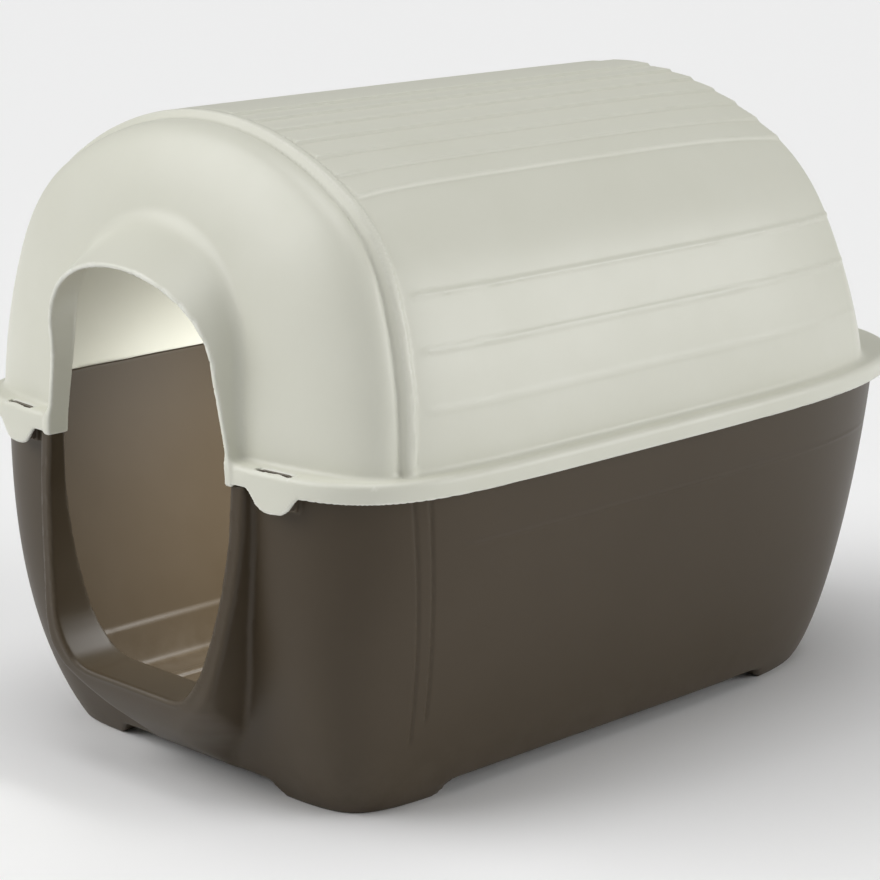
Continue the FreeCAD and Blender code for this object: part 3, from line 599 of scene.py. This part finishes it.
# %% The tub's small forms
SIDE_GROOVES = ((0.0, 50.0), (11.0, 64.0))      # how far behind the first, and where each one ends
SIDE_GROOVE_DEPTH, SIDE_GROOVE_SPREAD = 1.2, 1.2
BELT_HEIGHT, BELT_RISE, BELT_SPREAD = 181.0, 0.5, 1.2
GROOVE_LINE = ((219.0, -241.5), (116.0, -228.0), (51.0, -221.0))
RIBS, RIB_PITCH, RIB_HALF, RIB_RISE = 11, 24.0, 4.0, 2.5
FOOT = dict(slope=15.0, breadth=28.0, inner_x=87.0, front_end=-184.0, rear_end=154.0)
DRAIN_Y, DRAIN_R = 196.0, 9.0
PAD_HALF, PAD_MIDDLE, PAD_HALF_HEIGHT = 14.0, 215.0, 6.0
PAD_INSET, PAD_HALF_DEPTH = 13.4, 6.6


def side_relief(y, z):
    depth = 0.0
    line, _ = by_height(z, GROOVE_LINE)
    for behind, end in SIDE_GROOVES:
        groove = SIDE_GROOVE_DEPTH * np.exp(-((y - line - behind - 1.0) / SIDE_GROOVE_SPREAD) ** 2)
        depth = depth + groove * ramp(z, end - 4, end + 4)
    belt = BELT_RISE * np.exp(-((z - BELT_HEIGHT) / BELT_SPREAD) ** 2)
    belt = belt * ramp(y, -205.0, -190.0) * ramp(250.0 - y, 0.0, 30.0)
    return depth - belt


def floor_height(x, y):
    nearest = np.abs(x - RIB_PITCH * np.round(x / RIB_PITCH))
    rib = ramp(RIB_HALF + 0.8 - nearest, 0.0, 1.6) * ramp(y, -207.0, -203.0) * ramp(172.0 - y, -2.0, 2.0)
    return FLOOR_TOP + RIB_RISE * rib * (np.abs(x) < RIBS / 2 * RIB_PITCH)


def underside(x, y):
    """How high the tub's underside stands: nothing at the feet, the floor's height in the arches."""
    clear_x = ramp(FOOT["inner_x"] - np.abs(x), 0.0, FOOT["slope"])
    clear_y = ramp(np.minimum(y - FOOT["front_end"], FOOT["rear_end"] - y), 0.0, FOOT["slope"])
    inside = ramp(-bowed(x, y, **TUB_BASE), FOOT["breadth"] - 1.5, FOOT["breadth"] + 1.5)
    return FLOOR_UNDER * np.maximum(np.maximum(clear_x, clear_y), inside)


def tongue_pads(x, y, z):
    pads = []
    for end in TONGUE_X:
        along, outward = slot_frame(x, y, end)
        plan = np.maximum(np.abs(along) - PAD_HALF, np.abs(outward + PAD_INSET) - PAD_HALF_DEPTH)
        pads.append(np.maximum(plan, np.abs(z - PAD_MIDDLE) - PAD_HALF_HEIGHT))
    return np.minimum(*pads)


print("ribs on the floor:", RIBS)

# %% [markdown]
# ## The tub moulding
#
# The same recipe as the roof's: join the outer forms, take out the inner ones, and cut the doorway through
# both. The sill gets a rounded lip, which is the bright line along the doorway's foot.

# %% Put the tub together, mesh it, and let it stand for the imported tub
def tub_moulding(x, y, z):
    wall = tub_wall(x, y, z)
    outer = smooth_keep(smooth_keep(wall + side_relief(y, z), z - TUB_RIM, 1.0), underside(x, y) - z, 1.4)
    frame_form = np.maximum(porch(x, y, z), z - PORCH_TOP)
    frame_form = np.maximum(frame_form, np.maximum(y - PORCH_BACK, FLOOR_UNDER + 1 - z))
    frame_form = smooth_keep(frame_form, z - PORCH_TOP, 1.5)
    outer = smooth_join(outer, frame_form, 3.0)
    inset = WALL + 1.0 + CREASE_STEP * (1 - ramp(z, CREASE - 0.8, CREASE + 0.8))
    room = smooth_keep(wall + inset, floor_height(x, y) - z, 5.0)
    thicker = WALL + 0.6 + 4.0 * ramp(80.0 - z, 0.0, 25.0)
    hollow = np.maximum(porch(x, y, z, thicker), np.maximum(y - PORCH_BACK - 2, z - PORCH_TOP + WALL))
    hollow = smooth_keep(hollow, FLOOR_TOP - z, 4.0)
    shell = smooth_cut(outer, smooth_join(room, hollow, 2.0), 1.2)
    opening = doorway(x, z)
    jamb = np.maximum(np.maximum(opening - WALL - 0.4, frame_form), -wall - inset)
    shell = smooth_join(shell, jamb, 2.0)
    shell = np.minimum(shell, tongue_pads(x, y, z))
    notch = np.maximum(np.maximum(np.abs(x) - HOOD_FOOT_HALF - 0.9, PORCH_TOP - z), y - PORCH_BACK)
    shell = smooth_cut(shell, np.maximum(np.minimum(opening, notch), y - PORCH_BACK - 10), 2.0)
    drain = np.maximum(np.hypot(x, y - DRAIN_Y) - DRAIN_R, np.abs(z - FLOOR_UNDER) - 12)
    return smooth_cut(shell, drain, 0.8)


tub = piece_from_field(
    "tub_moulding", tub_moulding,
    grid_lines((-209, -132, FINE), (-132, 132, 2.4), (132, 209, FINE)),
    grid_lines((-316, -246, FINE), (-246, -202, 1.1), (-202, 168, COARSE), (168, 310, FINE)),
    grid_lines((-1.0, 26, 1.5), (26, 176, 2.3), (176, 186, 1.0), (186, 231.5, 1.6)))
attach(tub, "tub")
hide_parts("base_tub")

# %% [markdown]
# ## What makes plastic look moulded
#
# Three effects are shared by all the plastics here, so each is a node group with its own inputs. *Mould grain*
# is the fine satin texture that the steel mould leaves. *Rubbed edges* finds the outer edges, which come out
# of the mould thinner and paler and are then polished by handling. *Ground dust* settles on the lowest part of
# the walls and fades upwards.

# %% A helper that starts a node group with named inputs and outputs
def new_group(name, inputs, outputs):
    tree = bpy.data.node_groups.new(name, "ShaderNodeTree")
    for label, value in inputs.items():
        socket = tree.interface.new_socket(name=label, in_out="INPUT", socket_type="NodeSocketFloat")
        socket.default_value = value
    for label in outputs:
        tree.interface.new_socket(name=label, in_out="OUTPUT", socket_type="NodeSocketFloat")
    return tree, tree.nodes.new("NodeGroupInput"), tree.nodes.new("NodeGroupOutput")


def math_node(tree, operation, first, second):
    node = tree.nodes.new("ShaderNodeMath")
    node.operation = operation
    for socket, value in zip(node.inputs, (first, second)):
        if isinstance(value, bpy.types.NodeSocket):
            tree.links.new(value, socket)
        else:
            socket.default_value = value
    return node.outputs[0]


def ranged(tree, value, low, high, to_low=0.0, to_high=1.0):
    node = tree.nodes.new("ShaderNodeMapRange")
    for label, given in (("Value", value), ("From Min", low), ("From Max", high), ("To Min", to_low),
                         ("To Max", to_high)):
        if isinstance(given, bpy.types.NodeSocket):
            tree.links.new(given, node.inputs[label])
        else:
            node.inputs[label].default_value = given
    return node.outputs["Result"]


def noise(tree, scale, detail=4.0, roughness=0.55):
    place = tree.nodes.new("ShaderNodeTexCoord")
    node = tree.nodes.new("ShaderNodeTexNoise")
    tree.links.new(place.outputs["Object"], node.inputs["Vector"])
    if isinstance(scale, bpy.types.NodeSocket):
        tree.links.new(scale, node.inputs["Scale"])
    else:
        node.inputs["Scale"].default_value = scale
    node.inputs["Detail"].default_value = detail
    node.inputs["Roughness"].default_value = roughness
    return node.outputs["Fac"]


print("node groups before the first effect:", len(bpy.data.node_groups))

# %% Mould grain: a fine height and a slow change of tone
grain, given, result = new_group("mould_grain", {"Grain Scale": 1400.0, "Flow Scale": 9.0}, ("Height", "Tone"))
fine = noise(grain, given.outputs["Grain Scale"], 2.0, 0.6)
flow = noise(grain, given.outputs["Flow Scale"], 5.0, 0.6)
grain.links.new(fine, result.inputs["Height"])
grain.links.new(ranged(grain, flow, 0.3, 0.7), result.inputs["Tone"])
print("mould grain:", len(grain.nodes), "nodes")

# %% Rubbed edges: pale outer edges, broken up a little by noise
edges, given, result = new_group("rubbed_edges", {"Start": 0.52, "End": 0.58, "Breakup": 0.35}, ("Mask",))
shape = edges.nodes.new("ShaderNodeNewGeometry")
crest = ranged(edges, shape.outputs["Pointiness"], given.outputs["Start"], given.outputs["End"])
patches = ranged(edges, noise(edges, 35.0), 0.35, 0.65)
keep = math_node(edges, "SUBTRACT", 1.0, math_node(edges, "MULTIPLY", patches, given.outputs["Breakup"]))
edges.links.new(math_node(edges, "MULTIPLY", crest, keep), result.inputs["Mask"])
print("rubbed edges:", len(edges.nodes), "nodes")

# %% Ground dust: strongest at the ground, gone above its height
dust, given, result = new_group("ground_dust", {"Height": 0.05, "Amount": 0.5}, ("Mask",))
place = dust.nodes.new("ShaderNodeTexCoord")
split = dust.nodes.new("ShaderNodeSeparateXYZ")
dust.links.new(place.outputs["Object"], split.inputs[0])
low = ranged(dust, split.outputs["Z"], 0.0, given.outputs["Height"], 1.0, 0.0)
specks = ranged(dust, noise(dust, 60.0, 6.0, 0.7), 0.35, 0.75)
dust.links.new(math_node(dust, "MULTIPLY", math_node(dust, "MULTIPLY", low, specks), given.outputs["Amount"]),
               result.inputs["Mask"])
print("shared effects:", [tree.name for tree in bpy.data.node_groups])

# %% [markdown]
# ## The plastics
#
# Each plastic is one Principled shader. Its colour starts from the pigment, shifts slightly with the flow of
# the melt, goes paler on rubbed edges and dustier near the ground. Roughness follows the same masks, because a
# rubbed edge is shinier and dust is duller.

# %% One function that makes any of the plastics
def mixed(tree, kind, share, first, second):
    node = tree.nodes.new("ShaderNodeMix")
    node.data_type = kind
    socket_at = {"FLOAT": (2, 3, 0), "RGBA": (6, 7, 2)}[kind]
    for index, value in zip((0,) + socket_at[:2], (share, first, second)):
        if isinstance(value, bpy.types.NodeSocket):
            tree.links.new(value, node.inputs[index])
        else:
            node.inputs[index].default_value = value
    return node.outputs[socket_at[2]]


def use_group(tree, group, **values):
    node = tree.nodes.new("ShaderNodeGroup")
    node.node_tree = group
    for label, value in values.items():
        node.inputs[label.replace("_", " ")].default_value = value
    return node


def moulded_plastic(name, pigment, flow_tint, edge_tint, roughness, dust_amount=0.0, edge_range=(0.52, 0.6),
                    grain_depth=0.00003, gloss=0.5):
    material = bpy.data.materials.new(name)
    material.use_nodes = True
    tree = material.node_tree
    shader = tree.nodes["Principled BSDF"]
    shader.inputs["Specular IOR Level"].default_value = gloss
    surface = use_group(tree, grain)
    rubbed = use_group(tree, edges, Start=edge_range[0], End=edge_range[1])
    dusty = use_group(tree, dust, Amount=dust_amount)
    colour = mixed(tree, "RGBA", surface.outputs["Tone"], (*pigment, 1), (*flow_tint, 1))
    colour = mixed(tree, "RGBA", rubbed.outputs["Mask"], colour, (*edge_tint, 1))
    colour = mixed(tree, "RGBA", dusty.outputs["Mask"], colour, (0.32, 0.28, 0.22, 1))
    tree.links.new(colour, shader.inputs["Base Color"])
    shine = mixed(tree, "FLOAT", surface.outputs["Tone"], roughness - 0.03, roughness + 0.04)
    shine = mixed(tree, "FLOAT", rubbed.outputs["Mask"], shine, roughness - 0.08)
    shine = mixed(tree, "FLOAT", dusty.outputs["Mask"], shine, 0.85)
    tree.links.new(shine, shader.inputs["Roughness"])
    bump = tree.nodes.new("ShaderNodeBump")
    bump.inputs["Distance"].default_value = grain_depth
    bump.inputs["Strength"].default_value = 0.6
    tree.links.new(surface.outputs["Height"], bump.inputs["Height"])
    tree.links.new(bump.outputs["Normal"], shader.inputs["Normal"])
    return material


roof_plastic = moulded_plastic("roof_plastic", (0.70, 0.70, 0.61), (0.67, 0.67, 0.575), (0.9, 0.9, 0.83), 0.38)
tub_plastic = moulded_plastic("tub_plastic", (0.058, 0.042, 0.024), (0.065, 0.048, 0.029), (0.2, 0.165, 0.12), 0.4,
                              dust_amount=0.1, edge_range=(0.54, 0.66), gloss=0.3)
tongue_plastic = moulded_plastic("tongue_plastic", (0.04, 0.03, 0.02), (0.05, 0.036, 0.024), (0.1, 0.08, 0.06),
                                 0.4)
vent_plastic = moulded_plastic("vent_plastic", (0.055, 0.041, 0.026), (0.062, 0.047, 0.031), (0.14, 0.11, 0.08),
                               0.36)
plug_rubber = moulded_plastic("plug_rubber", (0.02, 0.02, 0.02), (0.028, 0.027, 0.026), (0.05, 0.05, 0.05), 0.6,
                              grain_depth=0.00006)
print("plastics:", [made.name for made in (roof_plastic, tub_plastic, tongue_plastic, vent_plastic, plug_rubber)])

# %% Put each plastic on its pieces
FINISHES = {"tub_moulding": tub_plastic, "base_tub": tub_plastic, "roof_moulding": roof_plastic,
            "roof_shell": roof_plastic, "drain_plug": plug_rubber}
for name, piece in [("tub_moulding", tub), ("roof_moulding", roof)] + list(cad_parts.items()):
    finish = FINISHES.get(name, tongue_plastic if name.endswith("tongue") else vent_plastic)
    piece.data.materials.clear()
    piece.data.materials.append(finish)
print("finishes:", sorted(material.name for material in bpy.data.materials if material.users))

# %% [markdown]
# ## Floor, light and camera
#
# The photograph is a shop picture on white: broad light from the upper left in front, a second broad light
# from the right behind that runs along the flank, and a third from above on the boards, with a dark near
# corner and a duller band on the shoulder between them. All three are lamps with a very wide angle, which
# light the whole floor evenly and throw only soft shadows. Two small lamps inside the cabin stand for the
# light that comes through the thin pale roof.

# %% A plain pale floor
floor_mesh = bpy.data.meshes.new("floor")
REACH_OUT = 14.0
floor_mesh.from_pydata([(-REACH_OUT, -REACH_OUT, 0), (REACH_OUT, -REACH_OUT, 0), (REACH_OUT, REACH_OUT, 0),
                        (-REACH_OUT, REACH_OUT, 0)], [], [(0, 1, 2, 3)])
floor = bpy.data.objects.new("floor", floor_mesh)
bpy.context.scene.collection.objects.link(floor)
paper = bpy.data.materials.new("paper_floor")
paper.use_nodes = True
paper.node_tree.nodes["Principled BSDF"].inputs["Base Color"].default_value = (0.94, 0.94, 0.94, 1)
paper.node_tree.nodes["Principled BSDF"].inputs["Roughness"].default_value = 0.9
floor_mesh.materials.append(paper)
print("the floor reaches", REACH_OUT, "m each way")

# %% Soft studio light
world = bpy.data.worlds.new("studio")
bpy.context.scene.world = world
world.use_nodes = True
world.node_tree.nodes["Background"].inputs["Color"].default_value = (1.0, 1.0, 1.0, 1)
world.node_tree.nodes["Background"].inputs["Strength"].default_value = 0.2


def broad_light(name, towards, angle, strength):
    light = bpy.data.lights.new(name, "SUN")
    light.angle, light.energy = math.radians(angle), strength
    lamp = bpy.data.objects.new(name, light)
    lamp.rotation_euler = Vector(towards).to_track_quat("Z", "Y").to_euler()
    lamp.location = Vector(towards).normalized() * 3.0
    bpy.context.scene.collection.objects.link(lamp)
    return lamp


broad_light("key_light", (-0.52, -0.62, 0.60), 50, 1.8)
broad_light("flank_light", (0.75, 0.60, 0.22), 40, 1.4)
broad_light("top_light", (0.05, 0.0, 1.0), 40, 0.9)
glow = bpy.data.lights.new("cabin_glow", "AREA")
glow.size, glow.spread, glow.energy = 0.2, math.radians(105), 1.1
cabin_lamp = bpy.data.objects.new("cabin_glow", glow)
cabin_lamp.location = (0.04, -0.05, 0.30)
cabin_lamp.rotation_euler = (Vector(cabin_lamp.location) - Vector((-0.12, -0.05, 0.0))).to_track_quat(
    "Z", "Y").to_euler()
bpy.context.scene.collection.objects.link(cabin_lamp)
sky_through_roof = bpy.data.lights.new("roof_glow", "POINT")
sky_through_roof.shadow_soft_size, sky_through_roof.energy = 0.08, 0.7
roof_lamp = bpy.data.objects.new("roof_glow", sky_through_roof)
roof_lamp.location = (0.0, 0.0, 0.24)
bpy.context.scene.collection.objects.link(roof_lamp)
bpy.context.scene.view_settings.view_transform = "Standard"
print("lamps:", [light.name for light in bpy.data.lights])

# %% The camera, found from the edges that the photograph shows
CAMERA_PLACE = (1.3711, -1.3809, 0.6661)
CAMERA_TURN, CAMERA_DROP = 45.37, 14.07         # degrees round from the front, and degrees downwards
FILM, FOCAL_LENGTH = 36.0, 115.1
camera = bpy.data.objects.new("camera", bpy.data.cameras.new("camera"))
camera.location = CAMERA_PLACE
camera.rotation_euler = (math.radians(90 - CAMERA_DROP), 0, math.radians(CAMERA_TURN))
camera.data.sensor_width, camera.data.lens = FILM, FOCAL_LENGTH
bpy.context.scene.collection.objects.link(camera)
bpy.context.scene.camera = camera
print("camera at", CAMERA_PLACE, "with a", FOCAL_LENGTH, "mm lens")

# %% Print the packed model's box, which the visual model is held inside, and finish
print("packed box:", cad_bounds)
